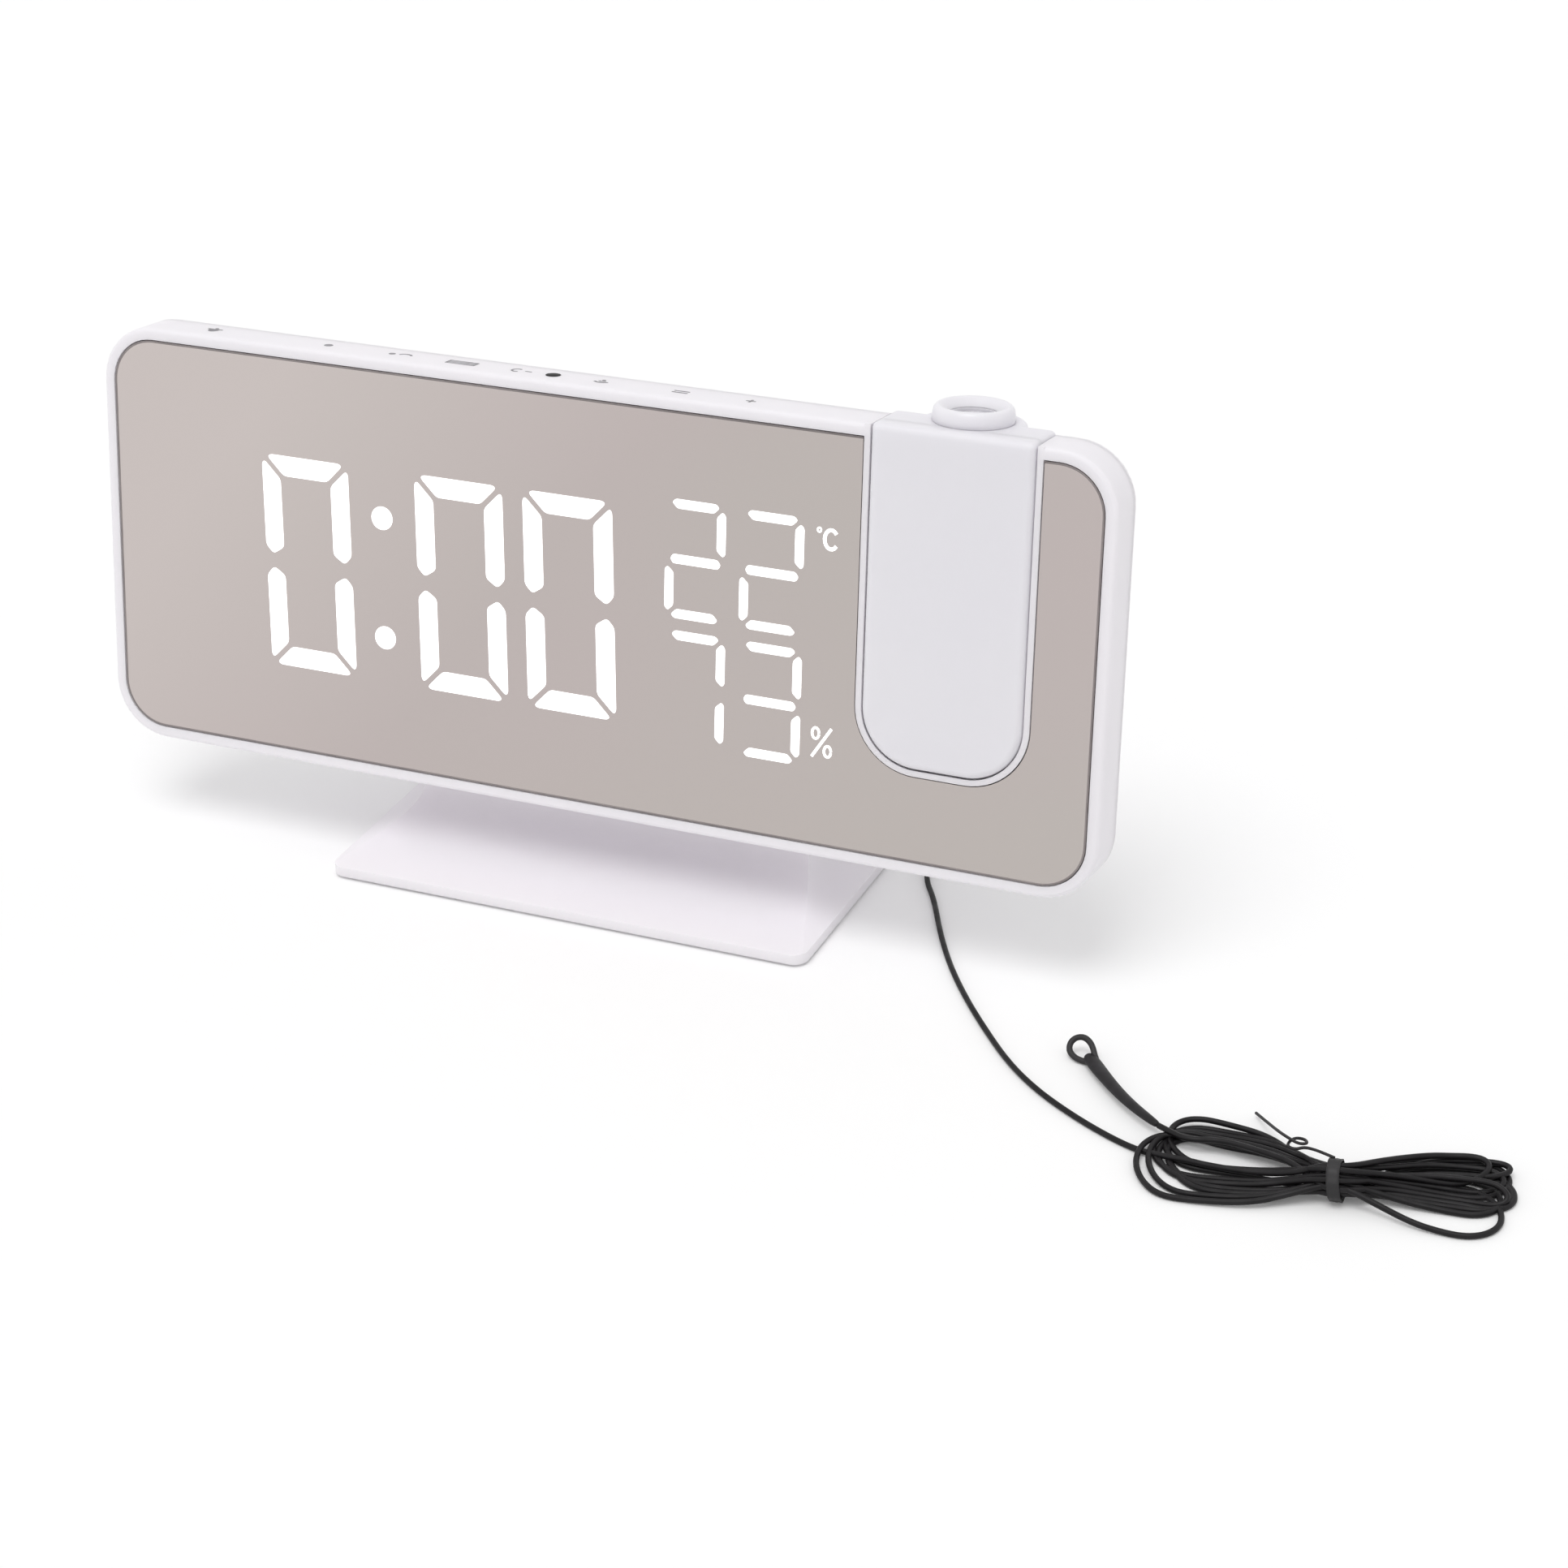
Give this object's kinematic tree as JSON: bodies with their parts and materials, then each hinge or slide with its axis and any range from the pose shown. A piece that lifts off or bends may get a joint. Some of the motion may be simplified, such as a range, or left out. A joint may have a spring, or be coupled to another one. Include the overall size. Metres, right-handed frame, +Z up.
{
  "type": "projection alarm clock",
  "caption": "Mirror-faced digital alarm clock on a concave foot, with a tilting projector arm, focus ring and tied wire antenna.",
  "frame": {"origin": "centre of the foot pad on the standing surface, below the stand's middle", "axes": "+X to the right along the mirror, +Y to the rear, +Z up"},
  "size_m": [0.2639, 0.1016, 0.0924],
  "materials": {
    "white_shell": "fine satin white moulding",
    "mirror_face": "polished mirror",
    "tape": "black double-sided tape",
    "dark_plastic": "black moulding",
    "lit_segments": "translucent white light guides",
    "circuit_board": "green solder mask",
    "led_chips": "moulded LED chips",
    "components": "moulded packages",
    "speaker_paper": "pressed paper cone",
    "steel": "plated steel",
    "washer": "acetal washer",
    "usb_metal": "bright plated sheet",
    "usb_core": "moulded core",
    "optical_glass": "clear lens with a violet coating",
    "lcd_glass": "dark liquid crystal panel",
    "stand_base": "satin grey-white moulding",
    "foot": "non-slip foam rubber",
    "wire_cover": "soft black wire insulation",
    "wire_fittings": "black soft plastic"
  },
  "bodies": {
    "clock_body": {"front_frame": "white_shell", "rear_cover": "white_shell", "stand": "white_shell", "mirror_panel": "mirror_face", "mirror_tape": "tape", "display_block": "dark_plastic", "dc_socket": "dark_plastic", "board_header": "dark_plastic", "speaker_basket": "dark_plastic", "display_segments": "lit_segments", "display_board": "circuit_board", "button_board": "circuit_board", "main_board": "circuit_board", "climate_sensor": "circuit_board", "display_leds": "led_chips", "button_switches": "components", "board_components": "components", "light_sensor": "components", "speaker_cone": "speaker_paper", "case_screws": "steel", "board_screws": "steel", "base_screws": "steel", "stand_screws": "steel", "battery_contacts": "steel", "coin_cell": "steel", "ballast_plate": "steel", "friction_washers": "washer", "usb_shell": "usb_metal", "usb_tongue": "usb_core", "base_plate": "stand_base", "foot_pad": "foot", "antenna_lead": "wire_cover", "antenna_hank": "wire_cover", "antenna_tail": "wire_cover", "antenna_grommet": "wire_fittings", "antenna_eyelet": "wire_fittings", "antenna_tie": "wire_fittings"},
    "projector_arm": {"arm_front_shell": "white_shell", "arm_rear_shell": "white_shell", "arm_screws": "steel", "hinge_pins": "steel", "projector_board": "circuit_board", "projector_led": "led_chips", "light_tube": "dark_plastic", "condenser_lens": "optical_glass", "lcd_panel": "lcd_glass", "lens_barrel": "dark_plastic"},
    "focus_ring": {"focus_ring": "white_shell", "lens_cell": "dark_plastic", "projection_lens": "optical_glass"},
    "battery_door": {"battery_cover": "white_shell"},
    "alarm_button": {"alarm_button": "white_shell"},
    "mode_button": {"mode_button": "white_shell"},
    "set_button": {"set_button": "white_shell"},
    "minus_button": {"minus_button": "white_shell"},
    "plus_button": {"plus_button": "white_shell"},
    "snooze_button": {"snooze_button": "white_shell"},
    "radio_button": {"radio_button": "white_shell"},
    "projector_button": {"projector_button": "white_shell"}
  },
  "joints": [
    {"name": "arm_tilt", "type": "hinge", "parent": "clock_body", "child": "projector_arm", "pos_m": [0.0653, -0.01011, 0.04868], "axis": [1, 0, 0], "range_deg": [-90, 90]},
    {"name": "focus_turn", "type": "hinge", "parent": "projector_arm", "child": "focus_ring", "pos_m": [0.0653, 0.00009, 0.08905], "axis": [0, 0.165, 0.9863], "range_deg": [-135, 135]},
    {"name": "battery_door_turn", "type": "hinge", "parent": "clock_body", "child": "battery_door", "pos_m": [0.026, 0.01226, 0.04848], "axis": [0, -0.9863, 0.165], "range_deg": [0, 50]},
    {"name": "alarm_press", "type": "slide", "parent": "clock_body", "child": "alarm_button", "axis": [0, -0.9863, 0.165], "range_m": [0, 0.0005], "stiffness_N_per_m": 1200, "springref_m": -0.0003},
    {"name": "mode_press", "type": "slide", "parent": "clock_body", "child": "mode_button", "axis": [0, -0.9863, 0.165], "range_m": [0, 0.0005], "stiffness_N_per_m": 1200, "springref_m": -0.0003},
    {"name": "set_press", "type": "slide", "parent": "clock_body", "child": "set_button", "axis": [0, -0.9863, 0.165], "range_m": [0, 0.0005], "stiffness_N_per_m": 1200, "springref_m": -0.0003},
    {"name": "minus_press", "type": "slide", "parent": "clock_body", "child": "minus_button", "axis": [0, -0.9863, 0.165], "range_m": [0, 0.0005], "stiffness_N_per_m": 1200, "springref_m": -0.0003},
    {"name": "plus_press", "type": "slide", "parent": "clock_body", "child": "plus_button", "axis": [0, -0.9863, 0.165], "range_m": [0, 0.0005], "stiffness_N_per_m": 1200, "springref_m": -0.0003},
    {"name": "snooze_press", "type": "slide", "parent": "clock_body", "child": "snooze_button", "axis": [0, -0.9863, 0.165], "range_m": [0, 0.0005], "stiffness_N_per_m": 1200, "springref_m": -0.0003},
    {"name": "radio_press", "type": "slide", "parent": "clock_body", "child": "radio_button", "axis": [0, -0.9863, 0.165], "range_m": [0, 0.0005], "stiffness_N_per_m": 1200, "springref_m": -0.0003},
    {"name": "projector_press", "type": "slide", "parent": "clock_body", "child": "projector_button", "axis": [0, -0.9863, 0.165], "range_m": [0, 0.0005], "stiffness_N_per_m": 1200, "springref_m": -0.0003}
  ]
}
